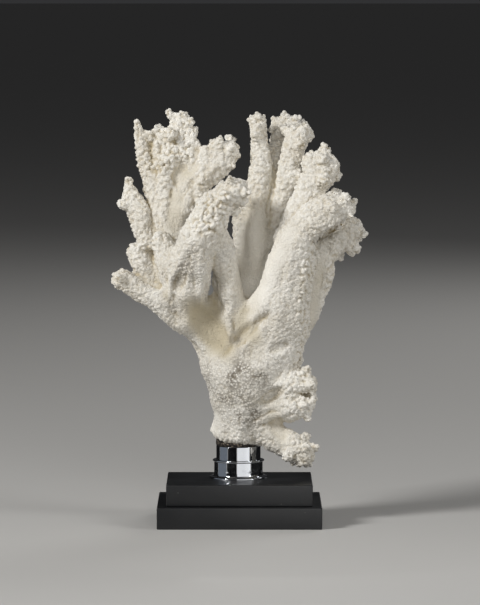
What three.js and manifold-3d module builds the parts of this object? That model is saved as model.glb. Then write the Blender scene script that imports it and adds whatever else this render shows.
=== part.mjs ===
// A white branching coral held in a polished metal collar on a stepped black plinth.
// Millimetres, +Z up, +X to the viewer's right and -Y towards the viewer.
// The origin is the middle of the plinth's underside.
import * as THREE from "three";
import { mergeVertices } from "three/addons/utils/BufferGeometryUtils.js";
import Module from "manifold-3d";

const wasm = await Module();
wasm.setup();

// Plinth: two boards of one thickness, the upper one set in by the same step all round.
const PLINTH_WIDTH = 125;
const PLINTH_DEPTH = 100;
const BOARD_THICKNESS = 16.5;
const PLINTH_STEP = 7;
const BOARD_EDGE = 0.8; // eased edge of each board
const PLINTH_TOP = 2 * BOARD_THICKNESS;
const UPPER_WIDTH = PLINTH_WIDTH - 2 * PLINTH_STEP;
const UPPER_DEPTH = PLINTH_DEPTH - 2 * PLINTH_STEP;

// Collar: a turned cup with a foot flange, a middle ring and a narrower upper drum.
const COLLAR_X = -0.8; // it stands a little to the left of the plinth's middle
const COLLAR_Y = 6; // and a little behind it
const COLLAR_HEIGHT = 25;
const FLANGE_RADIUS = 22.3;
const LOWER_DRUM_RADIUS = 18.6;
const RING_RADIUS = 19.8;
const RING_HEIGHT = 13.6;
const UPPER_DRUM_RADIUS = 17;
const COLLAR_WALL = 1.8;
const COLLAR_FLOOR = 3;
const COLLAR_TOP = PLINTH_TOP + COLLAR_HEIGHT;
const COLLAR_SEGMENTS = 28;

// Setting putty: fills the cup, and its top follows the coral's sloping underside.
const GAP = 0.3; // between pieces that touch
const BED_LEFT = 64; // height of the coral's underside at the collar's left side
const BED_RIGHT = 58.6; // and at its right side
const BED_RADIUS = 22; // the coral's underside is flat this far out from the collar's axis
const PUTTY_LIP = 0.8; // how far the putty stands out over the collar's rim
const PUTTY_SEGMENTS = 18;

// Coral: how its limbs are faceted, and the knobs that grow on them.
const STOUT_SIDES = 8;
const SLIM_SIDES = 6;
const SLIM_LIMIT = 9; // a limb thinner than this everywhere is slim
const END_ROUND = 0.6; // a limb's end is a dome this share of its half width high
const GOLDEN_ANGLE = Math.PI * (3 - Math.sqrt(5));
const KNOB_LEAN = 0.7; // knobs lean towards the limb's tip
const KNOB_LENGTH = 1.35; // a knob's length over its radius

const MATERIALS = {
  lacquer: new THREE.MeshStandardMaterial({ color: 0x141416, roughness: 0.45, metalness: 0 }),
  chrome: new THREE.MeshStandardMaterial({ color: 0xd8dadd, roughness: 0.08, metalness: 1 }),
  putty: new THREE.MeshStandardMaterial({ color: 0x2b2621, roughness: 0.9, metalness: 0 }),
  coral: new THREE.MeshStandardMaterial({ color: 0xe9e4da, roughness: 0.85, metalness: 0 }),
};

// Each limb is a row of stations, [x, y, z, half width, half depth], from its root to its tip.
// The half width lies across the limb in the front view, and the half depth towards the viewer.
// knobs is how many knobs grow on the limb, and from is how far along it the first one stands.
const CORAL = {
  coral_trunk: {
    seed: 11,
    limbs: [
      // trunk
      { path: [[0, 5, 58, 19, 17], [1, 4, 76, 22, 20], [7, 2, 99, 31.5, 24], [8.5, 2, 119, 39, 25],
               [14, 4, 138, 25, 19]] },
      // chipped corner over the collar
      { path: [[-8, 7, 86, 9, 8], [-15, 8, 75, 7, 6], [-20, 8, 68, 4, 3]] },
      // foot, hanging to the right beside the collar
      { path: [[10, 0, 76, 14, 14], [30, -4, 64, 11.5, 11], [45, -6, 55, 9.5, 9.5], [53, -7, 50, 7, 7]],
        knobs: 8, from: 0.5 },
      // two frilly lobes on the right edge
      { path: [[16, 0, 104, 16, 15], [36, -8, 106, 14, 13], [50, -11, 107, 10, 8], [56, -11, 106, 6, 5]],
        knobs: 5, from: 0.6 },
      { path: [[16, 0, 88, 15, 15], [36, -8, 90, 13, 12], [50, -11, 90, 8, 8], [54, -11, 89, 6, 6]],
        knobs: 4, from: 0.6 },
    ],
  },
  coral_left_branch: {
    seed: 23,
    limbs: [
      // bough
      { path: [[4, 6, 114, 18, 18], [-18, 5, 136, 16, 14], [-38, 2, 157, 13, 14], [-50, 0, 176, 14, 13]] },
      // low finger, stub and slender finger on the outer left
      { path: [[-36, -2, 154, 12, 13], [-58, -7, 169, 10.5, 11], [-77, -11, 179, 8.5, 8.5],
               [-92, -13, 189, 6.5, 6.5]], knobs: 2, from: 0.7 },
      { path: [[-60, -4, 180, 10, 9], [-75, -6, 200, 8.5, 8], [-80, -6, 211, 6, 6]], knobs: 2, from: 0.5 },
      { path: [[-58, 2, 194, 9, 9], [-70, 4, 214, 7.5, 8], [-76, 5, 236, 8.5, 8], [-83, 5, 250, 6.5, 6.5],
               [-86, 5, 261, 3, 3]], knobs: 2, from: 0.5 },
      // white ridge in front of them
      { path: [[-38, -2, 160, 11, 11], [-46, -8, 178, 12, 12], [-54, -11, 198, 10, 10],
               [-60, -10, 220, 7, 6]] },
      // tall palm with its side finger and top lobes
      { path: [[-42, 0, 168, 13, 13], [-50, 4, 203, 14, 12], [-55, 8, 234, 15, 11], [-55, 11, 262, 18, 10],
               [-53, 13, 285, 18, 9], [-52, 14, 297, 13, 7]], knobs: 6, from: 0.84 },
      { path: [[-64, 9, 258, 8, 7], [-73, 9, 280, 6, 6], [-77, 9, 296, 4.5, 4.5], [-78, 9, 304, 2.5, 2.5]] },
      { path: [[-60, 13, 288, 8, 7], [-64, 13, 298, 5, 5]] },
      { path: [[-48, 13, 290, 9, 7], [-46, 13, 306, 7, 6.5], [-45, 13, 311, 5.5, 5]], knobs: 3 },
      { path: [[-42, 12, 282, 7, 6], [-37.5, 10, 294, 4.5, 4.5], [-36.5, 9, 299, 3.5, 3.5]] },
      { path: [[-42, 12, 276, 6, 6], [-34, 10, 285, 4.5, 4.5], [-31, 9, 289, 3.5, 3.5]] },
      // arm rising to the right behind the front branch, with its lobes
      { path: [[-50, 7, 226, 9, 8], [-42, 4, 243, 11, 10], [-31, 5, 259, 10, 9], [-18, 6, 272, 10, 8],
               [-8, 6, 282, 9, 7], [-3.5, 6, 286, 7, 6]], knobs: 6, from: 0.6 },
      { path: [[-27, 5, 268, 6, 6], [-26.5, 4, 282, 4.5, 4.5], [-26.5, 4, 286, 3.5, 3.5]] },
      { path: [[-20, 5, 276, 5, 5], [-19.5, 4, 288, 4, 4], [-19.5, 3, 291, 3, 3]] },
      // rear finger
      { path: [[-34, 6, 150, 13, 12], [-44, 20, 180, 11, 10], [-51, 30, 212, 9.5, 9], [-53, 35, 236, 8, 8],
               [-54, 37, 250, 6, 6]], knobs: 3, from: 0.5 },
    ],
  },
  coral_left_front_branch: {
    seed: 37,
    limbs: [
      // front limb and the lobe under its head
      { path: [[-32, 4, 150, 10, 8], [-39, -5, 165, 14, 12], [-41, -15, 181, 16, 14], [-37, -21, 199, 16, 13],
               [-30, -26, 220, 15, 13], [-20, -29, 241, 13, 12], [-8, -29, 253, 10.5, 10],
               [1, -29, 259, 8, 8]], knobs: 7, from: 0.76 },
      { path: [[-19, -27, 236, 9, 8], [-16, -28, 233, 8, 7], [-13, -29, 229, 6, 6]] },
      // limb between the two hollows, which leans left and joins the front limb
      { path: [[-5, -4, 130, 9, 11], [-6, -5, 150, 8, 10], [-6, -8, 168, 8, 9], [-8, -11, 187, 9, 9],
               [-13, -16, 205, 11.5, 10], [-22, -22, 222, 12, 10]] },
      // webs at their feet
      { path: [[-14, 4, 150, 9, 6], [-13, 1, 172, 8, 5], [-13, -5, 192, 6, 4]] },
      { path: [[-44, -2, 154, 13, 8], [-26, 2, 152, 19, 6], [-8, 2, 140, 15, 8]] },
    ],
  },
  coral_middle_branch: {
    seed: 41,
    limbs: [
      // smooth pillar that ends as a tall finger, and the textured ridge on its front
      { path: [[5, 10, 130, 16, 15], [6, 14, 160, 13.5, 13], [8, 16, 186, 13, 12], [8.5, 15, 212, 14.5, 12],
               [9.5, 10, 236, 14.5, 10.5], [15, 7, 256, 10.5, 9.5], [16, 7, 274, 8.5, 8], [14.5, 7, 292, 6.5, 7],
               [13.5, 7, 310, 7, 7]], knobs: 3, from: 0.75 },
      { path: [[12, 9, 190, 6, 6], [12.5, 4, 208, 8, 8], [13, 1, 224, 9, 9], [14, 3, 246, 7.5, 7],
               [15, 7, 258, 6, 6]] },
      // rear finger with three tips
      { path: [[22, 10, 210, 6, 7], [25, 9, 232, 8, 8], [29, 14, 258, 9, 8.5], [29.5, 20, 278, 8, 7.5],
               [31.5, 24, 294, 8, 7], [33.5, 25, 304, 8, 6]], knobs: 3, from: 0.7 },
      { path: [[29, 25, 298, 5, 5], [27, 25, 308, 3.5, 3.5]] },
      { path: [[34, 25, 302, 5, 5], [34.5, 25, 311, 4, 4]] },
      { path: [[38, 25, 300, 5, 5], [42, 25, 309, 3.5, 3.5]] },
      // front finger and the round knob on it
      { path: [[26, 8, 226, 9, 9], [34, 5, 250, 9, 8.5], [38, 3, 270, 8, 8], [40.5, 3, 286, 8.5, 8],
               [45, 3, 298, 8, 7], [48, 3, 303, 6, 5]], knobs: 5, from: 0.6 },
      { path: [[42, 2, 260, 7, 7], [43.5, -3, 267, 6, 6]] },
      // rear finger behind the pillar
      { path: [[2, 16, 126, 14, 13], [0, 28, 158, 11, 10], [4, 37, 190, 9.5, 9], [10, 42, 220, 8, 8],
               [15, 43, 242, 6.5, 6.5]], knobs: 3, from: 0.5 },
    ],
  },
  coral_right_front_branch: {
    seed: 53,
    limbs: [
      // broad front limb
      { path: [[19, -2, 124, 28, 20], [27, -10, 154, 25, 17], [34, -17, 178, 20, 14], [38, -22, 200, 18, 13],
               [43, -24, 218, 14, 12], [50, -25, 228, 11, 10]] },
      // upper finger and its two tips
      { path: [[36, -12, 214, 11, 10], [45, -13, 238, 10, 10], [55, -13, 257, 10.5, 9], [63, -13, 270, 11, 8],
               [69, -13, 277, 8, 7]], knobs: 6, from: 0.5 },
      { path: [[62, -13, 276, 6, 6], [65, -13, 286, 4.5, 4.5], [66, -13, 290, 3, 3]] },
      { path: [[55, -12, 270, 7, 6], [56, -12, 281, 4.5, 4]] },
      // fan to the right and its lower lobe
      { path: [[42, -22, 218, 12, 11], [56, -26, 233, 14, 11], [68, -28, 240, 13, 9], [79, -28, 242, 9, 7],
               [86, -28, 241, 5.5, 5]], knobs: 8, from: 0.4 },
      { path: [[56, -28, 230, 8, 7], [60, -30, 225, 5, 5]] },
    ],
  },
  coral_right_rear_branch: {
    seed: 67,
    limbs: [
      // plate that ends as a drooping fan, and the fan's lower lobe
      { path: [[30, 4, 134, 16, 14], [48, 11, 160, 13, 9.5], [58, 16, 184, 13, 7.5], [63, 20, 204, 12, 8],
               [74, 23, 217, 13, 8], [85, 25, 222, 12, 7], [92, 25, 224, 8, 5]], knobs: 7, from: 0.5 },
      { path: [[80, 24, 216, 7, 6], [88, 24, 206, 4.5, 4.5]] },
      // rear finger
      { path: [[28, 12, 150, 12, 11], [34, 30, 186, 9.5, 9], [41, 38, 214, 8, 7.5], [45, 40, 232, 6, 6]],
        knobs: 3, from: 0.5 },
    ],
  },
};

// A closed geometry whose shared vertices are merged, as a solid.
function solidOf(geometry) {
  geometry.deleteAttribute("normal");
  geometry.deleteAttribute("uv");
  const merged = mergeVertices(geometry);
  return new wasm.Manifold(new wasm.Mesh({
    numProp: 3,
    vertProperties: merged.attributes.position.array,
    triVerts: new Uint32Array(merged.index.array),
  }));
}

// A solid's surface as a geometry.
function geometryOf(solid) {
  const mesh = solid.getMesh();
  const geometry = new THREE.BufferGeometry();
  geometry.setAttribute("position", new THREE.BufferAttribute(mesh.vertProperties, 3));
  geometry.setIndex(new THREE.BufferAttribute(mesh.triVerts, 1));
  geometry.computeVertexNormals();
  return geometry;
}

function namedMesh(name, geometry, material) {
  const mesh = new THREE.Mesh(geometry, material.clone());
  mesh.name = name;
  return mesh;
}

// Repeatable numbers from 0 to 1.
function seeded(seed) {
  let state = seed;
  return () => {
    state = (state * 16807) % 2147483647;
    return state / 2147483647;
  };
}

// A limb's centre line, the half sizes along it and its axes at a place from 0, the root, to 1, the tip.
function limbCurves(stations) {
  const centre = new THREE.CatmullRomCurve3(stations.map(([x, y, z]) => new THREE.Vector3(x, y, z)));
  const halves = new THREE.CatmullRomCurve3(stations.map(([, , , w, d]) => new THREE.Vector3(w, d, 0)));
  return (place) => {
    const along = centre.getTangent(place);
    const depth = new THREE.Vector3(0, 1, 0).addScaledVector(along, -along.y).normalize();
    const across = new THREE.Vector3().crossVectors(along, depth);
    const half = halves.getPoint(place);
    return { point: centre.getPoint(place), along, across, depth, width: half.x, thick: half.y };
  };
}

// A limb: a sphere drawn out along its centre line, each of its rings an oval of the limb's half sizes.
function limbSolid(stations, grow) {
  const at = limbCurves(stations);
  const sides = stations.every(([, , , w]) => w < SLIM_LIMIT) ? SLIM_SIDES : STOUT_SIDES;
  const rings = stations.length + 1; // one at each station, and the two poles
  const sphere = new THREE.SphereGeometry(1, sides, rings);
  const position = sphere.attributes.position;
  const spot = new THREE.Vector3();
  for (let ring = 0; ring <= rings; ring++) {
    const place = THREE.MathUtils.clamp(1 - (ring - 1) / (rings - 2), 0, 1);
    const s = at(place);
    const pole = ring === 0 ? 1 : ring === rings ? -1 : 0;
    for (let side = 0; side <= sides; side++) {
      const angle = (2 * Math.PI * side) / sides;
      spot.copy(s.point);
      if (pole) spot.addScaledVector(s.along, pole * (END_ROUND * Math.min(s.width, s.thick) + grow));
      else {
        spot.addScaledVector(s.across, -Math.cos(angle) * (s.width + grow));
        spot.addScaledVector(s.depth, Math.sin(angle) * (s.thick + grow));
      }
      position.setXYZ(ring * (sides + 1) + side, spot.x, spot.y, spot.z);
    }
  }
  return solidOf(sphere);
}

// Knobs: stubby lumps set round a limb by the golden angle, leaning towards its tip.
function knobSolids({ path, knobs = 0, from = 0.3 }, random, grow) {
  const at = limbCurves(path);
  const made = [];
  let angle = 2 * Math.PI * random();
  for (let k = 0; k < knobs; k++) {
    const s = at(from + (1 - from) * ((k + 0.7) / knobs));
    angle += GOLDEN_ANGLE + 0.5 * (random() - 0.5);
    const out = new THREE.Vector3()
      .addScaledVector(s.across, Math.cos(angle) * s.thick)
      .addScaledVector(s.depth, Math.sin(angle) * s.width)
      .normalize();
    const foot = s.point.clone()
      .addScaledVector(s.across, Math.cos(angle) * s.width * 0.94)
      .addScaledVector(s.depth, Math.sin(angle) * s.thick * 0.94);
    const radius = THREE.MathUtils.clamp(0.35 * s.width, 3, 4.5) * (0.85 + 0.4 * random());
    const lean = out.addScaledVector(s.along, KNOB_LEAN * (0.6 + 0.8 * random())).normalize();
    const knob = new THREE.IcosahedronGeometry(1, 0);
    knob.rotateZ(2 * Math.PI * random());
    knob.scale(radius + grow, radius + grow, KNOB_LENGTH * radius + grow);
    knob.applyQuaternion(new THREE.Quaternion().setFromUnitVectors(new THREE.Vector3(0, 0, 1), lean));
    foot.addScaledVector(lean, 0.5 * radius);
    made.push(solidOf(knob.translate(foot.x, foot.y, foot.z)));
  }
  return made;
}

// A branch: its limbs and knobs joined. With grow, it is that much larger all round.
function branchSolid({ seed, limbs }, grow = 0) {
  const random = seeded(seed);
  return limbs
    .flatMap((limb) => [limbSolid(limb.path, grow), ...knobSolids(limb, random, grow)])
    .reduce((sum, solid) => sum.add(solid));
}

function largestBody(solid) {
  return solid.decompose().reduce((a, b) => (b.volume() > a.volume() ? b : a));
}

// One board of the plinth, with eased edges, standing on the height given.
function boardGeometry(width, depth, base) {
  const w = width / 2 - BOARD_EDGE;
  const d = depth / 2 - BOARD_EDGE;
  const corners = [[-w, -d], [w, -d], [w, d], [-w, d]];
  const outline = new THREE.Shape(corners.map(([x, y]) => new THREE.Vector2(x, y)));
  return new THREE.ExtrudeGeometry(outline, {
    depth: BOARD_THICKNESS - 2 * BOARD_EDGE,
    bevelThickness: BOARD_EDGE,
    bevelSize: BOARD_EDGE,
    bevelSegments: 1,
  }).translate(0, 0, base + BOARD_EDGE);
}

// A turned piece from its [radius, height] outline, which starts and ends on its axis.
function turnedGeometry(outline, segments) {
  const lathe = new THREE.LatheGeometry(outline.map(([r, h]) => new THREE.Vector2(r, h)), segments);
  return lathe.rotateX(Math.PI / 2).translate(COLLAR_X, COLLAR_Y, 0);
}

function collarGeometry() {
  const z = PLINTH_TOP;
  const bore = UPPER_DRUM_RADIUS - COLLAR_WALL;
  return turnedGeometry([
    [0, z],
    [FLANGE_RADIUS - 0.5, z],
    [FLANGE_RADIUS, z + 0.6],
    [FLANGE_RADIUS - 0.6, z + 1.4],
    [LOWER_DRUM_RADIUS + 1.2, z + 1.9],
    [LOWER_DRUM_RADIUS + 0.3, z + 3.2],
    [LOWER_DRUM_RADIUS - 0.4, z + RING_HEIGHT - 0.8],
    [RING_RADIUS, z + RING_HEIGHT - 0.5],
    [RING_RADIUS, z + RING_HEIGHT + 0.5],
    [UPPER_DRUM_RADIUS, z + RING_HEIGHT + 1],
    [UPPER_DRUM_RADIUS, COLLAR_TOP - 0.6],
    [UPPER_DRUM_RADIUS - 0.6, COLLAR_TOP],
    [bore, COLLAR_TOP],
    [bore, z + COLLAR_FLOOR],
    [0, z + COLLAR_FLOOR],
  ], COLLAR_SEGMENTS);
}

// Everything below the sloping plane of the coral's underside, lowered by a drop, as a slab to cut with.
function belowBed(drop) {
  const slope = Math.atan2(BED_LEFT - BED_RIGHT, 2 * UPPER_DRUM_RADIUS);
  const size = 400;
  return solidOf(new THREE.BoxGeometry(size, size, size)
    .translate(0, 0, -size / 2)
    .rotateY(slope)
    .translate(0, 0, (BED_LEFT + BED_RIGHT) / 2 - drop));
}

// The putty fills the cup, laps over its rim and has a rough edge.
function puttyGeometry() {
  const bore = UPPER_DRUM_RADIUS - COLLAR_WALL - GAP;
  const lip = UPPER_DRUM_RADIUS + PUTTY_LIP;
  const rough = turnedGeometry([
    [0, PLINTH_TOP + COLLAR_FLOOR + GAP],
    [bore, PLINTH_TOP + COLLAR_FLOOR + GAP],
    [bore, COLLAR_TOP + GAP],
    [lip - 0.8, COLLAR_TOP + GAP],
    [lip, COLLAR_TOP + 2],
    [lip - 0.4, COLLAR_TOP + 4],
    [lip, COLLAR_TOP + 8],
    [0, COLLAR_TOP + 8],
  ], PUTTY_SEGMENTS);
  return geometryOf(solidOf(rough).intersect(belowBed(GAP)));
}

const stand = new THREE.Group();
stand.add(
  namedMesh("plinth_lower", boardGeometry(PLINTH_WIDTH, PLINTH_DEPTH, 0), MATERIALS.lacquer),
  namedMesh("plinth_upper", boardGeometry(UPPER_WIDTH, UPPER_DEPTH, BOARD_THICKNESS), MATERIALS.lacquer),
  namedMesh("collar", collarGeometry(), MATERIALS.chrome),
  namedMesh("setting_putty", puttyGeometry(), MATERIALS.putty),
);

// The room over the plinth that the collar and the putty take, up to the coral's sloping underside.
const bedRoom = solidOf(new THREE.CylinderGeometry(BED_RADIUS, BED_RADIUS, 2 * COLLAR_HEIGHT, 24)
  .rotateX(Math.PI / 2)
  .translate(COLLAR_X, COLLAR_Y, COLLAR_TOP)).intersect(belowBed(0));

// The coral's branches, each cut back from those before it.
const coral = new THREE.Group();
let taken = bedRoom;
for (const [name, branch] of Object.entries(CORAL)) {
  const solid = branchSolid(branch).subtract(taken);
  coral.add(namedMesh(name, geometryOf(largestBody(solid)), MATERIALS.coral));
  taken = taken.add(branchSolid(branch, GAP));
}

const part = new THREE.Group();
part.add(stand, coral);

export default part;
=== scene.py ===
"""Looks of a white branching coral held in a polished collar on a stepped black plinth.

The coral's surface is grown over the CAD limbs: they are joined under one skin, their forks are webbed,
and lobes, knobs, nubs and small cups are raised on it. The stand's pieces are profiles turned or carried
round an outline.
"""

import math

import bpy
import numpy as np
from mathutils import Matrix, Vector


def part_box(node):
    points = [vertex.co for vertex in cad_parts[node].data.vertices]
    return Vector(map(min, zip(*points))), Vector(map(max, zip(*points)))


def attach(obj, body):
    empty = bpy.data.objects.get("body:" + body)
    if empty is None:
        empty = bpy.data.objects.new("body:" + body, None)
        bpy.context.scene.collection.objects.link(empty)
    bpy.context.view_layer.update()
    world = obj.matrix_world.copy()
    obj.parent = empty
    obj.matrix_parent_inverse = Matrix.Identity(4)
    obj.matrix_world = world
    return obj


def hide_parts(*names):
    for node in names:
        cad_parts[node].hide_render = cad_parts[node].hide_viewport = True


bl_info = {
    "name": "Branching coral on a plinth",
    "version": (1, 0, 0),
    "blender": (4, 5, 0),
    "location": "3D View > Sidebar > Coral",
    "description": "Grows the coral's surface over its limbs and dresses its stand",
    "category": "Object",
}

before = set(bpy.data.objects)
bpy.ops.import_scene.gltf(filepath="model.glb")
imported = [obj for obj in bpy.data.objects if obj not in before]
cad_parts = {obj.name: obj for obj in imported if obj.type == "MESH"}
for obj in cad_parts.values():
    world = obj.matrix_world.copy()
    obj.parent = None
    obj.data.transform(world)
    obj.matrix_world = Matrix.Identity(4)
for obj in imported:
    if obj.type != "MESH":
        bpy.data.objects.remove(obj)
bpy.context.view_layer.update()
MM = 0.001
CORAL_NODES = [
    "coral_trunk",
    "coral_left_branch",
    "coral_left_front_branch",
    "coral_middle_branch",
    "coral_right_front_branch",
    "coral_right_rear_branch",
]
# The fork's middle, from which the knobs grow higher with distance.
FORK = np.array([0, 5 * MM, 140 * MM])
# How far in the ring that closes a cut between two branches lies.
CUT_DEPTH = 4.5 * MM

# The stage, in metres and degrees: the floor's disc, the cards that the collar mirrors, the lights and the camera.
FLOOR_RADIUS = 300
FLOOR_SIDES = 96
CARD_RADIUS = 0.3
CARD_HEIGHT = 0.25
CARD_POINTS = 24
LIGHTS_AIM = (0, 0, 0.17)
ROOM_COLOUR = (0.62, 0.63, 0.66, 1)
ROOM_STRENGTH = 0.05
CAMERA_ACROSS = 0.0004
CAMERA_PITCH = 4.36
# The camera's sensor, in millimetres, and the picture's height, in pixels.
SENSOR = 36
PICTURE_HEIGHT = 605
# Each card's name, the bearings of its ends from the front towards the right, and its colour, which it glows with.
CARDS = (
    ("dark_card_far_left", -170, -112, "#0A0A0B"),
    ("grey_card", -110, -58, "#6A7078"),
    ("dark_card_left", -56, -9, "#0A0A0B"),
    ("white_card", -6, 58, "#FFFFFF"),
    ("dark_card_right", 62, 170, "#0A0A0B"),
)


# Smooth places on the coral's front, in millimetres of the front view: middle across, middle up, half width,
# half height, the degrees that the upright axis leans to the right, and how much painted tan shade the skin there
# gets.
SMOOTH = (
    (-23, 149, 13, 28, -36, 0.8),  # the bowl between the left branch and the fork
    (19, 186, 7, 50, 28, 0.0),  # the pale left edge of the right front branch
    (9, 198, 12, 42, 4, 0.15),  # the pillar behind the fork
    (6, 149, 15, 8, 45, 0.6),  # the hollow right of the fork
    (59, 176, 4, 30, 10, 0.4),  # the plate behind the right front branch
    (-19, 78, 6, 10, 0, 0.1),  # the chipped facet low on the trunk's left
    (29, 75, 16, 7, 65, 0.3),  # the patch under the trunk's ledge
    (-49, 238, 7, 18, 10, 0.4),  # the web behind the left front branch
)
# The smooth places at full strength.
CALM = [(*zone, 1.0) for *zone, _ in SMOOTH]
# Frilled places in the same form, with how high the knobs stand there.
FRILLS = (
    (53, 178, 9, 46, 6, 1.0),  # the right edge of the right front branch
    (49, 130, 8, 28, 6, 1.0),  # the trunk's right edge
    (46, 98, 16, 26, 0, 0.6),  # the lobes on the trunk's right
    (47, 62, 16, 12, 0, 0.6),  # the foot
    (-24, 238, 16, 20, 30, 1.0),  # the head of the left front branch
    (-55, 284, 22, 26, 0, 0.9),  # the top of the left branch
    (68, 182, 6, 36, 11, 0.9),  # the edge of the plate behind the right front branch
    (-42, 136, 5, 14, -40, 0.8),  # the underside of the left bough
)
# Gritty places, with how much grit the cups hold; in the pockets and the gap between the heads the grit is painted
# shade.
GRIT_AND_SHADE_PLACES = (
    (-2, 104, 28, 36, 0, 1.0),  # the trunk
    (-43, 190, 8, 26, 20, 0.75),  # the valley down the left front branch
    (27, 134, 10, 6, -25, 0.4),  # the pocket under the right front branch
    (24, 98, 12, 8, -35, 0.9),  # the pocket over the ledge
    (33, 165, 8, 40, 14, 0.15),  # the middle of the right front branch
    (69, 221, 6, 16, 60, 0.5),  # the shadowed gap between the right branches' heads
)
# Slender fingers, with how much lower the knobs are.
SLENDER = (
    (-76, 288, 9, 24, -8, 0.75),  # the outer finger of the left branch
    (-79, 240, 11, 26, -20, 0.7),  # the finger below it
    (-85, 214, 14, 12, -60, 0.5),  # the lowest finger
    (11, 290, 12, 40, 4, 0.9),  # the upright finger of the middle branch
)
# Dents, with the millimetres that the place is pressed in; less than 0 is raised.
DENTS = (
    (-23, 149, 10, 22, -36, 3.0),  # the bowl
    (4, 145, 5, 23, 47, 4.0),  # the hollow right of the fork
    (-8, 152, 2.5, 13, -5, -2.5),  # the spur between the two
    (29, 75, 14, 6, 65, 2.0),  # the patch under the ledge
    (23, 81, 3, 12, 70, -2.0),  # the ledge
    (-19, 78, 6, 9, 0, 1.5),  # the chipped facet
    (55, 98, 11, 2, 10, 4.0),  # the notch between the trunk's lobes
    (-43, 191, 5, 22, 22, 2.5),  # the valley down the left front branch
    (-29, 191, 4, 18, 5, -1.5),  # the ridge to its right
    (-53, 202, 4, 18, 25, -1.5),  # the ridge to its left
    (30, 135, 9, 4, -25, 2.5),  # the pocket under the right front branch
    (24, 98, 11, 5, -35, 3.0),  # the pocket over the ledge
    (69, 223, 4, 16, 60, 7.0),  # the shadowed gap between the right branches' heads
)
# Fingers of the left branch that end in a point: millimetres across and up to the point, and how far down
# the taper starts.
POINTED = ((-78, 307, 22), (-85, 265, 17))


def linear(code):
    """Linear red, green, blue and alpha of an sRGB hex colour."""
    parts = np.array([int(code[i:i + 2], 16) for i in (1, 3, 5)]) / 255
    curve = np.where(parts <= 0.04045, parts / 12.92, ((parts + 0.055) / 1.055) ** 2.4)
    return (*curve.tolist(), 1.0)


def smoothstep(low, high, values):
    """0 up to low, 1 from high, and an S-shaped rise between them."""
    t = np.clip((values - low) / (high - low), 0, 1)
    return t * t * (3 - 2 * t)


def colour(name, code):
    """A colour property whose default is an sRGB hex colour."""
    return bpy.props.FloatVectorProperty(
        name=name,
        description=f"Colour of the {name.lower()}",
        subtype="COLOR",
        size=4,
        min=0,
        max=1,
        default=linear(code),
    )


def length(name, description, millimetres):
    """A length property, in metres, whose default is given in millimetres."""
    return bpy.props.FloatProperty(
        name=name,
        description=description,
        subtype="DISTANCE",
        unit="LENGTH",
        min=0,
        precision=5,
        default=millimetres * MM,
    )


def power(name, watts):
    """A light's power property, in watts."""
    return bpy.props.FloatProperty(
        name=name,
        description=f"Power of the {name.lower()}",
        unit="POWER",
        min=0,
        default=watts,
    )


class CoralLook(bpy.types.PropertyGroup):
    """The coral's surface."""

    join: length("Join", "How far each limb is swollen to meet its neighbours", 0.25)
    web: length("Web", "Half the widest gap that is filled between the limbs at the fork", 5)
    body_step: length("Body step", "Grid of the skin that the knobs are raised on", 0.9)
    skin_step: length("Skin step", "Grid of the finished skin", 0.7)
    knob_size: length("Knob size", "Spacing of the knobs on tips and edges", 4.8)
    knob_height: length("Knob height", "Height of the knobs on tips and edges", 1.9)
    lobe_size: length("Lobe size", "Spacing of the lobes that the tips split into", 6.8)
    lobe_height: length("Lobe height", "Height of the lobes that the tips split into", 7.5)
    nub_size: length("Nub size", "Spacing of the nubs on the knobs", 2.9)
    nub_height: length("Nub height", "Height of the nubs on the knobs", 2.3)
    cup_size: length("Cup size", "Spacing of the small cups", 2.1)
    cup_height: length("Cup height", "Height of the small cups", 0.65)
    bleached: colour("Bleached skeleton", "#F5F1E8")
    # Cream for random clouds, and painted shade in crevices and between the knobs.
    cream: colour("Cream between the knobs", "#BBAD90")
    shade: colour("Sheltered hollows", "#B8AB8C")
    # Grit in the cups, and painted shade where it fills shadowed pockets and the gap between the right heads.
    grit: colour("Grit in the cups", "#6B6152")


class StandLook(bpy.types.PropertyGroup):
    """The stand's pieces."""

    edge: length("Board edge", "Radius of the eased edges of the boards", 0.9)
    lacquer: colour("Lacquer", "#101113")
    dust: colour("Dust", "#6E6C68")
    chrome: colour("Chrome", "#D3D6DA")
    putty: colour("Putty", "#1E1813")
    putty_light: colour("Putty grit", "#8D8272")


class StageLook(bpy.types.PropertyGroup):
    """The floor, the lights and the camera."""

    floor: colour("Floor", "#C4C2BE")
    key_power: power("Key light", 50)
    fill_power: power("Fill light", 12)
    front_power: power("Front light", 14)
    back_power: power("Back light", 12)
    camera_distance: length("Camera distance", "From the plinth's middle to the camera", 3040)
    camera_height: length("Camera height", "Height of the camera over the floor", 400)
    focal_pixels: bpy.props.FloatProperty(
        name="Focal length", description="Focal length in pixels of the photograph", default=3992, min=1)


def add_node(tree, kind, inputs=None, **settings):
    """One node of a kind, with its settings, and its inputs set or linked."""
    node = tree.nodes.new(kind)
    for key, value in settings.items():
        setattr(node, key, value)
    for key, value in (inputs or {}).items():
        if isinstance(value, bpy.types.NodeSocket):
            tree.links.new(value, node.inputs[key])
        else:
            node.inputs[key].default_value = value
    return node


def new_material(name):
    """An empty node material, with its shader and its Object coordinates."""
    material = bpy.data.materials.new(name)
    material.use_nodes = True
    tree = material.node_tree
    shader = next(n for n in tree.nodes if n.type == "BSDF_PRINCIPLED")
    place = add_node(tree, "ShaderNodeTexCoord").outputs["Object"]
    return material, tree, shader, place


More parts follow.
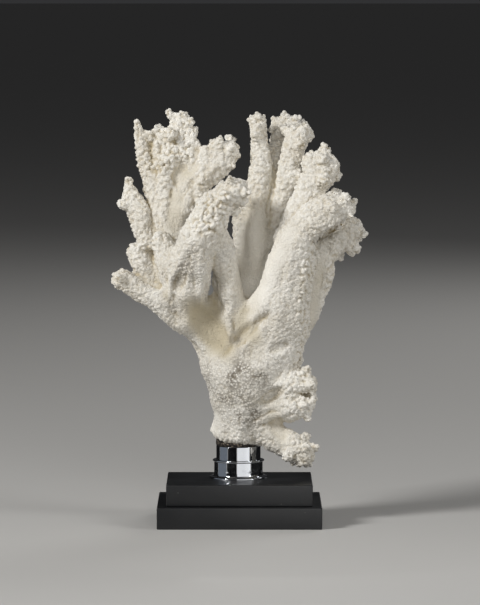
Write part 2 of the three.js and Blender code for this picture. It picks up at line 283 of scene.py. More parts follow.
def coral_material(look):
    """Bleached aragonite skeleton: a matt, chalky white that goes cream in random clouds, cream as painted shade
    in crevices and between the knobs, and tan as painted shade in hollows, with fine grain all over and grit held
    in the cups, most on the trunk; in shadowed pockets and a gap the grit is painted shade."""
    material, tree, shader, place = new_material("bleached_coral_skeleton")
    painted_hollow_shade = add_node(tree, "ShaderNodeAttribute", attribute_name="painted_hollow_shade").outputs["Fac"]
    painted_crevice_shade = add_node(tree, "ShaderNodeAttribute", attribute_name="painted_crevice_shade").outputs["Fac"]
    grit_and_pocket_shade = add_node(tree, "ShaderNodeAttribute", attribute_name="grit_and_pocket_shade").outputs["Fac"]
    cloud = add_node(tree, "ShaderNodeTexNoise", {"Vector": place, "Scale": 1 / (28 * MM), "Detail": 3.0})
    cups = add_node(tree, "ShaderNodeTexVoronoi", {"Vector": place, "Scale": 1 / (1.7 * MM)})
    grain = add_node(tree, "ShaderNodeTexNoise", {"Vector": place, "Scale": 1 / (0.7 * MM), "Detail": 2.0})
    cloudy = add_node(tree, "ShaderNodeMapRange",
                      {"Value": cloud.outputs["Fac"], "From Min": 0.42, "From Max": 0.75, "To Max": 0.35})
    # Painted shade: cream in crevices and between the knobs, added to the random cream clouds.
    clouds_and_crevice_shade = add_node(tree, "ShaderNodeMath", {0: cloudy.outputs[0], 1: painted_crevice_shade},
                      operation="ADD", use_clamp=True)
    clouded_and_crevice_shaded = add_node(tree, "ShaderNodeMix", {0: clouds_and_crevice_shade.outputs[0], 6: look.bleached, 7: look.cream},
                    data_type="RGBA")
    # Painted shade: hollows and filled forks go tan.
    tan = add_node(tree, "ShaderNodeMix", {0: painted_hollow_shade, 6: clouded_and_crevice_shaded.outputs[2], 7: look.shade}, data_type="RGBA")
    dots = add_node(tree, "ShaderNodeMapRange",
                    {"Value": cups.outputs["Distance"], "From Min": 0.15, "From Max": 0.65, "To Max": 0.9})
    # Grit held in the cups; in shadowed pockets it is painted shade.
    held_grit_and_shade = add_node(tree, "ShaderNodeMath", {0: dots.outputs[0], 1: grit_and_pocket_shade}, operation="MULTIPLY")
    gritted_and_shaded = add_node(tree, "ShaderNodeMix", {0: held_grit_and_shade.outputs[0], 6: tan.outputs[2], 7: look.grit},
                     data_type="RGBA")
    heights = add_node(tree, "ShaderNodeMath", {0: grain.outputs["Fac"], 1: cups.outputs["Distance"]},
                       operation="SUBTRACT")
    bump = add_node(tree, "ShaderNodeBump",
                    {"Height": heights.outputs[0], "Strength": 0.8, "Distance": 0.6 * MM})
    tree.links.new(gritted_and_shaded.outputs[2], shader.inputs["Base Color"])
    tree.links.new(bump.outputs["Normal"], shader.inputs["Normal"])
    shader.inputs["Roughness"].default_value = 0.82
    shader.inputs["Specular IOR Level"].default_value = 0.3
    return material


def lacquer_material(look):
    """Satin black lacquer on wood: nearly black, a broad soft gloss with a faint ripple, and specks of dust."""
    material, tree, shader, place = new_material("satin_black_lacquer")
    ripple = add_node(tree, "ShaderNodeTexNoise", {"Vector": place, "Scale": 1 / (2.2 * MM), "Detail": 2.0})
    smear = add_node(tree, "ShaderNodeTexNoise", {"Vector": place, "Scale": 1 / (35 * MM), "Detail": 4.0})
    specks = add_node(tree, "ShaderNodeTexVoronoi",
                      {"Vector": place, "Scale": 1 / (9 * MM), "Randomness": 1.0})
    dusty = add_node(tree, "ShaderNodeMapRange",
                     {"Value": specks.outputs["Distance"], "From Min": 0.05, "From Max": 0.03, "To Max": 0.8})
    coat = add_node(tree, "ShaderNodeMix", {0: dusty.outputs[0], 6: look.lacquer, 7: look.dust},
                    data_type="RGBA")
    gloss = add_node(tree, "ShaderNodeMapRange",
                     {"Value": smear.outputs["Fac"], "From Min": 0.3, "From Max": 0.7,
                      "To Min": 0.3, "To Max": 0.46})
    bump = add_node(tree, "ShaderNodeBump",
                    {"Height": ripple.outputs["Fac"], "Strength": 0.06, "Distance": 0.2 * MM})
    tree.links.new(coat.outputs[2], shader.inputs["Base Color"])
    tree.links.new(gloss.outputs[0], shader.inputs["Roughness"])
    tree.links.new(bump.outputs["Normal"], shader.inputs["Normal"])
    return material


def chrome_material(look):
    """Polished chrome plate on a turned collar: a clear mirror with faint smears."""
    material, tree, shader, place = new_material("polished_chrome_plate")
    smear = add_node(tree, "ShaderNodeTexNoise", {"Vector": place, "Scale": 1 / (6 * MM), "Detail": 4.0})
    gloss = add_node(tree, "ShaderNodeMapRange",
                     {"Value": smear.outputs["Fac"], "From Min": 0.35, "From Max": 0.7,
                      "To Min": 0.03, "To Max": 0.1})
    shader.inputs["Base Color"].default_value = look.chrome
    shader.inputs["Metallic"].default_value = 1
    tree.links.new(gloss.outputs[0], shader.inputs["Roughness"])
    return material


def putty_material(look):
    """Cured epoxy putty: dull black-brown, rough, with pale grit rubbed off the coral."""
    material, tree, shader, place = new_material("dark_epoxy_putty")
    blotch = add_node(tree, "ShaderNodeTexNoise", {"Vector": place, "Scale": 1 / (1.8 * MM), "Detail": 3.0})
    pale = add_node(tree, "ShaderNodeMapRange",
                    {"Value": blotch.outputs["Fac"], "From Min": 0.56, "From Max": 0.68})
    mixed = add_node(tree, "ShaderNodeMix", {0: pale.outputs[0], 6: look.putty, 7: look.putty_light},
                     data_type="RGBA")
    bump = add_node(tree, "ShaderNodeBump",
                    {"Height": blotch.outputs["Fac"], "Strength": 0.8, "Distance": 0.6 * MM})
    tree.links.new(mixed.outputs[2], shader.inputs["Base Color"])
    tree.links.new(bump.outputs["Normal"], shader.inputs["Normal"])
    shader.inputs["Roughness"].default_value = 0.9
    return material


def floor_material(look):
    """Matt paper floor."""
    material, _, shader, _ = new_material("matt_paper_floor")
    shader.inputs["Base Color"].default_value = look.floor
    shader.inputs["Roughness"].default_value = 0.9
    return material


def card_material(name, code):
    """Matt card, kept from the camera, that glows with its own colour in place of being lit: the dark and white
    bands in the collar.
    """
    material, _, shader, _ = new_material(f"matt_{name}")
    shader.inputs["Base Color"].default_value = linear(code)
    # The card glows: painted light for the collar's reflections.
    shader.inputs["Emission Color"].default_value = linear(code)
    shader.inputs["Emission Strength"].default_value = 0.7
    shader.inputs["Roughness"].default_value = 1
    return material


def mesh_piece(name, points, faces, flat=np.empty((0, 3), int)):
    """A mesh object from whole arrays: its points, its smooth-shaded faces and its flat-shaded triangles."""
    mesh = bpy.data.meshes.new(name)
    sizes = np.concatenate([np.full(len(faces), faces.shape[1]), np.full(len(flat), 3)])
    mesh.vertices.add(len(points))
    mesh.vertices.foreach_set("co", np.asarray(points, np.float32).ravel())
    mesh.loops.add(int(sizes.sum()))
    mesh.loops.foreach_set("vertex_index", np.concatenate([faces.ravel(), flat.ravel()]).astype(np.int32))
    mesh.polygons.add(len(sizes))
    mesh.polygons.foreach_set("loop_start", (np.cumsum(sizes) - sizes).astype(np.int32))
    mesh.polygons.foreach_set("use_smooth", np.arange(len(sizes)) < len(faces))
    mesh.update(calc_edges=True)
    piece = bpy.data.objects.new(name, mesh)
    bpy.context.scene.collection.objects.link(piece)
    return piece


def dress(piece, material, slot, *nodes):
    """Gives a piece its material, hides the CAD nodes that it stands for, and rides it on the body; the slot is
    not used.
    """
    piece.data.materials.append(material)
    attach(piece, "root")
    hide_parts(*nodes)


def node_shell(node):
    """A CAD node's points, merged where they meet, and its triangles."""
    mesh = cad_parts[node].data
    points = np.empty(len(mesh.vertices) * 3, np.float32)
    mesh.vertices.foreach_get("co", points)
    mesh.calc_loop_triangles()
    triangles = np.empty(len(mesh.loop_triangles) * 3, np.int32)
    mesh.loop_triangles.foreach_get("vertices", triangles)
    keys = np.round(points.reshape(-1, 3) / (0.002 * MM)).astype(np.int64)
    _, first, merged = np.unique(keys, axis=0, return_index=True, return_inverse=True)
    triangles = merged.reshape(-1)[triangles].reshape(-1, 3)
    return points.reshape(-1, 3)[first].astype(float), triangles


def face_normals(points, faces):
    """Each face's normal, as long as twice its area: the cross product of its diagonals, or of a triangle's
    edges."""
    if faces.shape[1] == 4:
        return np.cross(points[faces[:, 2]] - points[faces[:, 0]], points[faces[:, 3]] - points[faces[:, 1]])
    return np.cross(points[faces[:, 1]] - points[faces[:, 0]], points[faces[:, 2]] - points[faces[:, 0]])


def point_normals(points, faces):
    """Each point's unit normal: the sum of its faces' normals."""
    normals = face_normals(points, faces)
    corners = faces.ravel()
    shared = np.repeat(normals, faces.shape[1], axis=0)
    total = np.stack([np.bincount(corners, shared[:, k], len(points)) for k in range(3)], axis=1)
    return total / np.maximum(np.linalg.norm(total, axis=1, keepdims=True), 1e-20)


def half_edges(faces):
    """Start and end points of every face's edges, each way round."""
    return faces.ravel(), np.roll(faces, -1, axis=1).ravel()


def relaxed(values, edges, rounds, share=0.5):
    """Values at the points of a closed surface after rounds in which each moves a share of the way
    to its neighbours' mean."""
    start, end = edges
    flat = values.reshape(len(values), -1)
    count = np.bincount(start, minlength=len(flat))[:, None]
    for _ in range(rounds):
        total = np.stack([np.bincount(start, column[end], len(flat)) for column in flat.T], axis=1)
        flat = flat + share * (total / count - flat)
    return flat.reshape(values.shape)


def hashed(cells, salt):
    """Repeatable numbers from 0 to 1 for whole-numbered cells: their coordinates times large odd numbers,
    mixed."""
    odd = np.array([0x9E3779B1, 0x85EBCA77, 0xC2B2AE3D], np.uint64)
    mixed = ((cells.astype(np.int64) + 4096).astype(np.uint64) * odd).sum(-1) + np.uint64(salt * 0x27D4EB2F)
    mixed = (mixed ^ (mixed >> np.uint64(29))) * np.uint64(0xBF58476D1CE4E5B9)
    mixed = (mixed ^ (mixed >> np.uint64(32))) * np.uint64(0x94D049BB133111EB)
    return ((mixed ^ (mixed >> np.uint64(31))) >> np.uint64(40)).astype(float) / 2 ** 24


def lumps(points, size, salt):
    """Smooth noise from -1 to 1: hashed numbers on a grid of a size, blended over each cell by S-shaped
    weights."""
    spots = points / size
    base = np.floor(spots).astype(int)
    t = spots - base
    t = t * t * (3 - 2 * t)
    total = np.zeros(len(points))
    for corner in np.ndindex(2, 2, 2):
        weight = np.prod(np.where(np.array(corner) == 1, t, 1 - t), axis=1)
        total += weight * hashed(base + corner, salt)
    return 2 * total - 1


def nearest_seed(points, size, salt):
    """Distance, in cells, to the nearest of a set of seeds, one at a hashed place in each cell of a grid,
    and that seed's own hashed number."""
    spots = points / size
    base = np.floor(spots).astype(int)
    best = np.full(len(points), 9.0)
    mark = np.zeros(len(points))
    for step in np.ndindex(3, 3, 3):
        cell = base + np.array(step) - 1
        seed = cell + np.stack([hashed(cell, salt + k) for k in range(3)], axis=1)
        far = np.linalg.norm(spots - seed, axis=1)
        closer = far < best
        best = np.where(closer, far, best)
        mark = np.where(closer, hashed(cell, salt + 7), mark)
    return best, mark


def skin_over(points, faces, step):
    """One closed skin of four-cornered faces over a set of closed shells, on a grid of a step."""
    shell = mesh_piece("shell", points, faces)
    skin = shell.modifiers.new("skin", "REMESH")
    skin.mode = "VOXEL"
    skin.voxel_size = step
    mesh = shell.evaluated_get(bpy.context.evaluated_depsgraph_get()).to_mesh()
    spots = np.empty(len(mesh.vertices) * 3, np.float32)
    mesh.vertices.foreach_get("co", spots)
    corners = np.empty(len(mesh.loops), np.int32)
    mesh.loops.foreach_get("vertex_index", corners)
    if len(corners) != 4 * len(mesh.polygons):
        raise RuntimeError("the skin has faces without four corners")
    data = shell.data
    bpy.data.objects.remove(shell)
    bpy.data.meshes.remove(data)
    return spots.reshape(-1, 3).astype(float), corners.reshape(-1, 4)


def carried(marks, values, spots, cell=2 * MM, spread=3):
    """Values read at spots from marks nearby: the marks' values are averaged in the cells of a grid,
    spread to the cells around, and read back from the cell that each spot lies in."""
    low = np.minimum(marks.min(axis=0), spots.min(axis=0)) - (spread + 2) * cell
    high = np.maximum(marks.max(axis=0), spots.max(axis=0))
    shape = tuple(((high - low) / cell).astype(int) + spread + 3)
    index = np.ravel_multi_index(tuple(((marks - low) / cell).astype(int).T), shape)
    columns = [np.ones(len(marks)), *values.T]
    grid = np.stack([np.bincount(index, column, math.prod(shape)).reshape(shape) for column in columns])
    for axis in (1, 2, 3):
        for _ in range(spread):
            grid = grid + 0.5 * (np.roll(grid, 1, axis) + np.roll(grid, -1, axis))
    index = tuple(((spots - low) / cell).astype(int).T)
    read = grid[(slice(None), *index)]
    return (read[1:] / np.maximum(read[0], 1e-9)).T


def fork_share(spots):
    """1 where limbs are webbed together, at the fork and at the left front branch's root, and more between the
    left branch's arms, falling to 0 round them."""
    x, _, z = spots.T
    fork = np.hypot((x + 8 * MM) / (34 * MM), (z - 144 * MM) / (27 * MM))
    root = np.hypot((x + 39 * MM) / (18 * MM), (z - 172 * MM) / (19 * MM))
    palm = np.hypot((x + 44 * MM) / (13 * MM), (z - 260 * MM) / (20 * MM))
    return np.max([smoothstep(1.25, 0.8, fork), smoothstep(1.25, 0.8, root),
                   1.6 * smoothstep(1.25, 0.6, palm)], axis=0)


def zone_share(spots, normals, zone):
    """1 on the front-facing skin inside an oval zone of the front view, falling to 0 round its rim.

    A zone is the millimetres of its middle across and up, its half width and half height, and the degrees
    that its upright axis leans to the right."""
    across, up, wide, tall, lean = zone
    x, _, z = spots.T / MM
    turn = math.radians(lean)
    side = (x - across) * math.cos(turn) - (z - up) * math.sin(turn)
    along = (x - across) * math.sin(turn) + (z - up) * math.cos(turn)
    return smoothstep(1.3, 0.6, np.hypot(side / wide, along / tall)) * smoothstep(0.45, 0.0, normals[:, 1])


def strongest(spots, normals, table):
    """The largest, over a table's zones, of a zone's share times the strength that its row ends with."""
    return np.max([strength * zone_share(spots, normals, zone) for *zone, strength in table], axis=0)


def dome(far, width):
    """Height, from 0 to 1, of a round dome about a seed: a half ellipse that is 0 from a width of cells away."""
    return np.sqrt(np.clip(1 - (far / width) ** 2, 0, 1))


def webbed_limbs(look):
    """The coral's limbs under one skin: its points, its four-cornered faces and their edges.

    Each CAD shell is swollen a little so that neighbours meet, and more at the webbed places, where the skin
    is drawn in again by as much: what lies between the limbs there stays filled."""
    points, faces, offset = [], [], 0
    for node in CORAL_NODES:
        shell, triangles = node_shell(node)
        swell = look.join + look.web * fork_share(shell)
        points.append(shell + swell[:, None] * point_normals(shell, triangles))
        faces.append(triangles + offset)
        offset += len(shell)
    spots, quads = skin_over(np.concatenate(points), np.concatenate(faces), look.body_step)
    edges = half_edges(quads)
    spots = relaxed(spots, edges, 4)
    spots = spots - (look.web * fork_share(spots))[:, None] * point_normals(relaxed(spots, edges, 8), quads)
    return spots, quads, edges


def draw_to_points(body):
    """Tapers the pointed fingers in place: near each point, the skin is drawn to the finger's axis and up."""
    for across, up, taper in POINTED:
        near = smoothstep(10 * MM, 7 * MM, np.abs(body[:, 0] - across * MM))
        near = near * smoothstep((up - taper) * MM, up * MM, body[:, 2]) * (body[:, 2] < (up + 8) * MM)
        axis = np.array([across * MM, near @ body[:, 1] / near.sum()])
        body[:, :2] += 0.4 * near[:, None] * (axis - body[:, :2])
        body[:, 2] += 2 * MM * near


def coral_body(look):
    """The coral's webbed limbs, dented at the front, with knobs and lobes raised on tips and edges.

    The skin is relaxed twice, a little and a lot; where the second lies outside, as in forks and hollows, the
    skin goes over to it. Slender fingers go back to the unrelaxed skin, and two are drawn to a point. Smooth
    places are relaxed further, and the dents and ridges of the front are pressed in. Knobs and larger lobes
    are raised as domes about scattered seeds: knobs most on ridges far from the fork and on frilled places,
    lobes on the sharpest tips and edges. Slow swellings and upright flutes run under them.
    Returns the points, the faces and, for each point, how much painted shade it gets in hollows and forks, how
    smooth and how knobby it is."""
    spots, quads, edges = webbed_limbs(look)
    little = relaxed(spots, edges, 12)
    much = relaxed(little, edges, 60)
    normals = point_normals(little, quads)
    sunk = np.einsum("ij,ij->i", much - little, normals)
    web = smoothstep(0.25 * MM, 1.5 * MM, sunk)
    body = little + web[:, None] * (much - little)
    slender = strongest(body, 0 * normals, SLENDER)
    body = body + slender[:, None] * (spots - little)
    draw_to_points(body)
    normals = point_normals(relaxed(body, edges, 10), quads)
    body = body + strongest(body, normals, CALM)[:, None] * (relaxed(body, edges, 60) - body)
    normals = point_normals(relaxed(body, edges, 10), quads)
    press = sum(depth * MM * zone_share(body, normals, zone) for *zone, depth in DENTS)
    body = relaxed(body - normals * press[:, None], edges, 3)
    normals = point_normals(relaxed(body, edges, 6), quads)
    # Painted tan shade of the smooth places in hollows and behind and under branches.
    tan = strongest(body, normals, SMOOTH)
    frilly = strongest(body, normals, FRILLS)
    ridge = smoothstep(0.0, 2.0 * MM, relaxed(-sunk, edges, 8))
    reach = smoothstep(45 * MM, 120 * MM, np.linalg.norm(body - FORK, axis=1))
    calm = np.maximum(smoothstep(0.0, 0.6, web), strongest(body, normals, CALM))
    knobby = np.clip(0.1 + 0.35 * reach + ridge * (0.2 + 0.65 * reach), 0, 1)
    knobby = np.maximum(knobby, frilly) * (1 - calm)
    sharp = smoothstep(0.8 * MM, 2 * MM, relaxed(-sunk, edges, 4))
    tip = np.maximum(sharp * reach, 0.8 * frilly * ridge)
    knob_far, knob_mark = nearest_seed(body, look.knob_size, 31)
    knob = dome(knob_far, 0.95) * (0.55 + 0.7 * knob_mark)
    lobe_far, lobe_mark = nearest_seed(body, look.lobe_size, 53)
    lobe = dome(lobe_far, 0.66) * (0.6 + 0.6 * lobe_mark)
    flutes = lumps(body * [1, 1, 0.3], 8 * MM, 21)
    swell = MM * (1.1 * lumps(body, 17 * MM, 5) + 0.8 * flutes) * (1 - calm)
    raised = look.knob_height * knobby * (knob - 0.45) + look.lobe_height * tip * (lobe - 0.4)
    body = body + normals * (swell + (1 - slender) * raised)[:, None]
    return body, quads, np.stack([np.maximum(0.8 * web, tan), calm, knobby], axis=1)


def coral_skin(look):
    """The finished skin: the body under a finer skin, with nubs and small cups raised on it as domes about
    close seeds.

    Returns its points, faces and the values at its points: painted shade in hollows, painted shade in crevices,
    and grit, which in shadowed pockets is painted shade."""
    body, body_quads, kinds = coral_body(look)
    spots, quads = skin_over(body, body_quads, look.skin_step)
    painted_hollow_shade, calm, knobby = carried(body, kinds, spots, spread=1).T
    edges = half_edges(quads)
    spots = relaxed(spots, edges, 1)
    normals = point_normals(relaxed(spots, edges, 2), quads)
    near = relaxed(spots, edges, 20)
    dip = np.einsum("ij,ij->i", near - spots, normals)
    nub_far, nub_mark = nearest_seed(spots, look.nub_size, 47)
    nub = dome(nub_far, 0.72) * (0.5 + 0.8 * nub_mark)
    cup_far, cup_mark = nearest_seed(spots, look.cup_size, 71)
    cup = np.clip(1 - (cup_far / 0.85) ** 2, 0, 1) * (0.5 + cup_mark)
    height = look.nub_height * knobby * (nub - 0.4) + look.cup_height * (1 - 0.95 * calm) * (cup - 0.35)
    spots = spots + normals * height[:, None]
    blotch = 0.35 + 0.65 * smoothstep(-0.7, 0.6, lumps(spots, 16 * MM, 13) + 0.6 * lumps(spots, 6 * MM, 17))
    # Grit places; the pockets and the gap between the right heads are painted shade.
    grit_and_pocket_shade = strongest(spots, normals, GRIT_AND_SHADE_PLACES)
    # Painted shade in crevices: where the skin dips in, and in the gaps between nubs and between cups.
    between = np.maximum(smoothstep(0.5, 0.95, cup_far) * 0.5, smoothstep(0.5, 0.85, nub_far) * knobby)
    values = {
        "painted_hollow_shade": painted_hollow_shade,
        "painted_crevice_shade": np.clip(smoothstep(0.0, 0.45 * MM, dip) * 0.7 + between * (1 - calm) * 0.7, 0, 1),
        "grit_and_pocket_shade": blotch * (1 - calm) * np.maximum(grit_and_pocket_shade, 0.25 * (1 - smoothstep(0.3, 0.7, knobby))),
    }
    return spots, quads, edges, values


def nearest_limb(spots, quads, edges):
    """For each face, the number of the CAD node that it grew on: every CAD triangle is sampled on a lattice,
    the samples' node marks are carried to the skin's points, relaxed over it and averaged over each face."""
    share = np.linspace(0, 1, 11)
    a, b = [weights.ravel() for weights in np.meshgrid(share, share)]
    weights = np.stack([a, b, 1 - a - b], axis=1)[a + b <= 1.0001]
    samples, marks = [], []
    for number, node in enumerate(CORAL_NODES):
        shell, triangles = node_shell(node)
        samples.append(np.einsum("sk,tkc->tsc", weights, shell[triangles]).reshape(-1, 3))
        marks.append(np.tile(np.eye(len(CORAL_NODES))[number], (len(samples[-1]), 1)))
    read = carried(np.concatenate(samples), np.concatenate(marks), spots, spread=4)
    return relaxed(read, edges, 10)[quads].mean(axis=1).argmax(axis=1)


def closed_part(spots, quads, chosen):
    """The chosen faces of a closed skin, with each cut closed behind by a ring drawn inwards and then by
    triangles to a point behind its middle, the farther behind the more the skin round it faces one way.

    Returns the kept points' numbers, all points, the four-cornered faces and the closing triangles."""
    kept, faces = np.unique(quads[chosen], return_inverse=True)
    faces = faces.reshape(-1, 4)
    start, end = half_edges(faces)
    count = len(kept)
    open_edge = ~np.isin(start.astype(np.int64) * count + end, end.astype(np.int64) * count + start)
    rim, place = np.unique(np.concatenate([start[open_edge], end[open_edge]]), return_inverse=True)
    a, b = place.reshape(2, -1)
    loop = np.arange(len(rim))
    while True:
        before = loop.copy()
        np.minimum.at(loop, a, before[b])
        np.minimum.at(loop, b, before[a])
        if np.array_equal(before, loop):
            break
    _, loop = np.unique(loop, return_inverse=True)
    points = spots[kept]
    outward = point_normals(points, faces)[rim]
    ring = points[rim] - CUT_DEPTH * outward
    ring = relaxed(ring, (np.concatenate([a, b]), np.concatenate([b, a])), 30)
    number = np.bincount(loop)[:, None]
    middle, lean = [np.stack([np.bincount(loop, column) for column in each.T], axis=1) / number
                    for each in (ring, outward)]
    reach = np.bincount(loop, np.linalg.norm(ring - middle[loop], axis=1))[:, None] / number
    middle = middle - reach * lean
    inner = np.stack([rim[b], rim[a], count + a], axis=1)
    outer = np.stack([rim[b], count + a, count + b], axis=1)
    fans = np.stack([count + b, count + a, count + len(rim) + loop[a]], axis=1)
    return kept, np.concatenate([points, ring, middle]), faces, np.concatenate([inner, outer, fans])


class CORAL_OT_grow(bpy.types.Operator):
    """Grow the coral's surface over its limbs, one piece for each branch"""

    bl_idname = "coral.grow"
    bl_label = "Grow coral"

    def execute(self, context):
        look = context.scene.coral_look
        spots, quads, edges, values = coral_skin(look)
        limb = nearest_limb(spots, quads, edges)
        material = coral_material(look)
        for number, node in enumerate(CORAL_NODES):
            if not np.any(limb == number):
                raise RuntimeError(f"no surface grew on {node}")
            kept, points, faces, closing = closed_part(spots, quads, limb == number)
            piece = mesh_piece(f"{node}_surface", points, faces, closing)
            for name, value in values.items():
                attribute = piece.data.attributes.new(name, "FLOAT", "POINT")
                full = np.zeros(len(points), np.float32)
                full[:len(kept)] = value[kept]
                attribute.data.foreach_set("value", full)
            dress(piece, material, "coral", node)
        return {"FINISHED"}


def ring_surface(rings):
    """Points and faces of a surface through a stack of rings, an array of ring, place and coordinate,
    closed at both ends by a point at the end ring's middle. Rings run anticlockwise as seen from the last
    one."""
    layers, around = rings.shape[:2]
    index = np.arange(layers * around).reshape(layers, around)
    here, beside = index, np.roll(index, -1, axis=1)
    quads = np.stack([here[:-1], beside[:-1], beside[1:], here[1:]], axis=-1).reshape(-1, 4)
    ends = np.stack([rings[0].mean(axis=0), rings[-1].mean(axis=0)])
    first, last = layers * around, layers * around + 1
    under = np.stack([beside[0], here[0], np.full(around, first)], axis=1)
    over = np.stack([here[-1], beside[-1], np.full(around, last)], axis=1)
    return np.concatenate([rings.reshape(-1, 3), ends]), quads, np.concatenate([under, over])


class CORAL_OT_plinth(bpy.types.Operator):
    """Dress the two boards of the plinth, with eased edges and corners"""

    bl_idname = "coral.plinth"
    bl_label = "Dress plinth"

    def execute(self, context):
        look = context.scene.stand_look
        material = lacquer_material(look)
        radius = look.edge
        turn = np.linspace(0, math.pi / 2, 7)
        arc = radius * np.stack([1 - np.sin(turn), 1 - np.cos(turn)], axis=1)
        around = np.concatenate([turn + quarter * math.pi / 2 for quarter in range(4)])
        outward = np.stack([np.cos(around), np.sin(around)], axis=1)
        corner = np.repeat([[1, 1], [-1, 1], [-1, -1], [1, -1]], len(turn), axis=0)
        for node in ("plinth_lower", "plinth_upper"):
            low, high = [np.array(end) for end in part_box(node)]
            outline = (low + high)[:2] / 2 + corner * ((high - low)[:2] / 2 - radius)
            profile = np.concatenate([arc + [0, low[2]], arc[::-1] * [1, -1] + [0, high[2]]])
            rings = [np.column_stack([outline + (radius - inset) * outward, np.full(len(outline), height)])
                     for inset, height in profile]
            piece = mesh_piece(f"{node}_board", *ring_surface(np.stack(rings)))
            dress(piece, material, "lacquered_wood", node)
        return {"FINISHED"}


def turned(profile, centre, segments):
    """A surface of revolution: each (radius, height) of a profile turned about an upright axis at a centre."""
    angle = np.linspace(0, 2 * math.pi, segments, endpoint=False)
    around = np.stack([np.cos(angle), np.sin(angle)], axis=1)
    rings = [np.column_stack([centre + radius * around, np.full(segments, height)])
             for radius, height in profile]
    return ring_surface(np.stack(rings))


def rounded(corners, radii, steps=6):
    """A profile whose corners are rounded: each becomes a quadratic curve that starts and ends its radius
    away, with a point on the straight just before and after it, which keeps the straight's shading straight."""
    corners = np.array(corners, float)
    out = [corners[:1]]
    t = np.linspace(0, 1, steps)[:, None]
    for before, corner, after, radius in zip(corners, corners[1:], corners[2:], radii):
        arrive = corner + (before - corner) * min(radius / np.linalg.norm(before - corner), 0.4)
        leave = corner + (after - corner) * min(radius / np.linalg.norm(after - corner), 0.4)
        bend = (1 - t) ** 2 * arrive + 2 * t * (1 - t) * corner + t ** 2 * leave
        out.append(np.vstack([arrive + 0.2 * (arrive - corner), bend, leave + 0.2 * (leave - corner)]))
    return np.concatenate(out + [corners[-1:]])


class CORAL_OT_collar(bpy.types.Operator):
    """Turn the polished collar: foot flange, lower drum, middle ring, upper drum and open cup"""

    bl_idname = "coral.collar"
    bl_label = "Turn collar"

    def execute(self, context):
        look = context.scene.stand_look
        low, high = [np.array(corner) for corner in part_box("collar")]
        centre = (low + high)[:2] / 2
        flange = (high[0] - low[0]) / 2
        z = low[2]
        top = high[2]
        lower, ring, upper, bore = flange - np.array([3.7, 2.5, 5.3, 7.1]) * MM
        corners = [
            (1 * MM, z), (flange, z), (flange, z + 1.4 * MM), (lower + 0.6 * MM, z + 2.1 * MM),
            (lower, z + 4 * MM), (lower, z + 13 * MM), (ring, z + 13 * MM), (ring, z + 14.3 * MM),
            (upper, z + 14.4 * MM), (upper, top), (bore, top), (bore, z + 3 * MM), (1 * MM, z + 3 * MM),
        ]
        radii = np.array([0.2, 0.7, 0.8, 1.2, 0.3, 0.6, 0.6, 0.3, 0.6, 0.6, 0.5]) * MM
        piece = mesh_piece("collar_turned", *turned(rounded(corners, radii), centre, 160))
        dress(piece, chrome_material(look), "chrome", "collar")
        return {"FINISHED"}


class CORAL_OT_putty(bpy.types.Operator):
    """Press the dark putty into the collar: a plug whose rough lip follows the coral's sloping underside"""

    bl_idname = "coral.putty"
    bl_label = "Press putty"

    def execute(self, context):
        look = context.scene.stand_look
        shell, triangles = node_shell("setting_putty")
        spots, quads = skin_over(shell, triangles, 0.8 * MM)
        edges = half_edges(quads)
        spots = relaxed(spots, edges, 3)
        normals = point_normals(spots, quads)
        lip = smoothstep(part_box("collar")[1].z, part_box("collar")[1].z + 0.6 * MM, spots[:, 2])
        rough = 0.5 * MM * lumps(spots, 2.4 * MM, 3) + 0.25 * MM * lumps(spots, 1.1 * MM, 9)
        spots = spots + normals * (lip * (rough - 0.1 * MM))[:, None]
        piece = mesh_piece("putty_plug", spots, quads)
        dress(piece, putty_material(look), "setting_putty", "setting_putty")
        return {"FINISHED"}


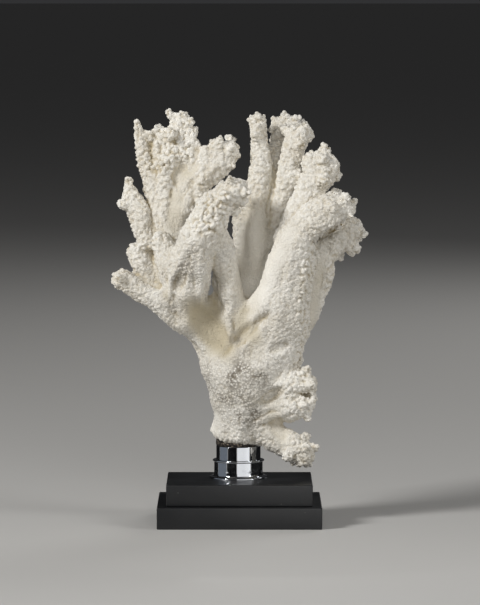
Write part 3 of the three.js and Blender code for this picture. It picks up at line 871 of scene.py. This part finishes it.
class CORAL_OT_stage(bpy.types.Operator):
    """Set the pale floor, the cards that the collar mirrors, the soft lights and the camera"""

    bl_idname = "coral.stage"
    bl_label = "Set stage"

    def execute(self, context):
        look = context.scene.stage_look
        scene = context.scene
        side = np.arange(FLOOR_SIDES)
        angle = np.linspace(0, 2 * math.pi, FLOOR_SIDES, endpoint=False)
        rim = np.column_stack([np.cos(angle), np.sin(angle), np.zeros(FLOOR_SIDES)])
        fan = np.column_stack([side, np.roll(side, -1), np.full(FLOOR_SIDES, FLOOR_SIDES)])
        floor = mesh_piece("floor", np.concatenate([FLOOR_RADIUS * rim, [[0, 0, 0]]]), fan)
        floor.data.materials.append(floor_material(look))
        for name, first, last, code in CARDS:
            bearing = np.radians(np.linspace(first, last, CARD_POINTS))
            foot = CARD_RADIUS * np.column_stack([np.sin(bearing), -np.cos(bearing), 0 * bearing])
            index = np.arange(CARD_POINTS - 1)
            faces = np.column_stack([index, index + 1, index + CARD_POINTS + 1, index + CARD_POINTS])
            card = mesh_piece(name, np.concatenate([foot, foot + [0, 0, CARD_HEIGHT]]), faces)
            card.data.materials.append(card_material(name, code))
            card.visible_camera = False
            card.visible_diffuse = False
            card.visible_shadow = False
        for name, power, size, place in (
            ("key_light", look.key_power, 0.7, (-1.8, -1.3, 1.5)),
            ("fill_light", look.fill_power, 0.8, (1.9, -0.9, 1.2)),
            ("front_light", look.front_power, 1.2, (0.3, -2.6, 1.2)),
            ("back_light", look.back_power, 1.2, (1.3, 2.1, 1.5)),
        ):
            lamp = bpy.data.lights.new(name, "AREA")
            lamp.energy = power
            lamp.shape = "DISK"
            lamp.size = size
            light = bpy.data.objects.new(name, lamp)
            scene.collection.objects.link(light)
            light.location = place
            aim = np.array(LIGHTS_AIM) - np.array(place)
            light.rotation_euler = (
                math.atan2(math.hypot(aim[0], aim[1]), -aim[2]), 0, math.atan2(-aim[0], aim[1]))
        world = bpy.data.worlds.new("soft_room")
        world.use_nodes = True
        sky = next(n for n in world.node_tree.nodes if n.type == "BACKGROUND")
        sky.inputs["Color"].default_value = ROOM_COLOUR
        sky.inputs["Strength"].default_value = ROOM_STRENGTH
        scene.world = world
        lens = bpy.data.cameras.new("camera")
        lens.sensor_width = SENSOR
        lens.lens = look.focal_pixels * SENSOR / PICTURE_HEIGHT
        lens.clip_end = 1000
        camera = bpy.data.objects.new("camera", lens)
        scene.collection.objects.link(camera)
        camera.location = (CAMERA_ACROSS, -look.camera_distance, look.camera_height)
        camera.rotation_euler = (math.radians(90 - CAMERA_PITCH), 0, 0)
        scene.camera = camera
        scene.view_settings.view_transform = "Standard"
        return {"FINISHED"}


class CORAL_PT_panel(bpy.types.Panel):
    """Lists the steps and the settings"""

    bl_idname = "CORAL_PT_panel"
    bl_label = "Branching coral"
    bl_space_type = "VIEW_3D"
    bl_region_type = "UI"
    bl_category = "Coral"

    def draw(self, context):
        for operator in OPERATORS:
            self.layout.operator(operator.bl_idname)
        for look in (context.scene.coral_look, context.scene.stand_look, context.scene.stage_look):
            box = self.layout.box()
            for key in look.bl_rna.properties.keys():
                if key not in ("rna_type", "name"):
                    box.prop(look, key)


OPERATORS = (CORAL_OT_stage, CORAL_OT_plinth, CORAL_OT_collar, CORAL_OT_putty, CORAL_OT_grow)
LOOKS = {"coral_look": CoralLook, "stand_look": StandLook, "stage_look": StageLook}
CLASSES = (*LOOKS.values(), *OPERATORS, CORAL_PT_panel)


def register():
    for cls in CLASSES:
        bpy.utils.register_class(cls)
    for name, cls in LOOKS.items():
        setattr(bpy.types.Scene, name, bpy.props.PointerProperty(type=cls))


def unregister():
    for name in LOOKS:
        delattr(bpy.types.Scene, name)
    for cls in reversed(CLASSES):
        bpy.utils.unregister_class(cls)


def main():
    register()
    bpy.ops.coral.stage()
    bpy.ops.coral.plinth()
    bpy.ops.coral.collar()
    bpy.ops.coral.putty()
    bpy.ops.coral.grow()


if __name__ == "__main__":
    main()
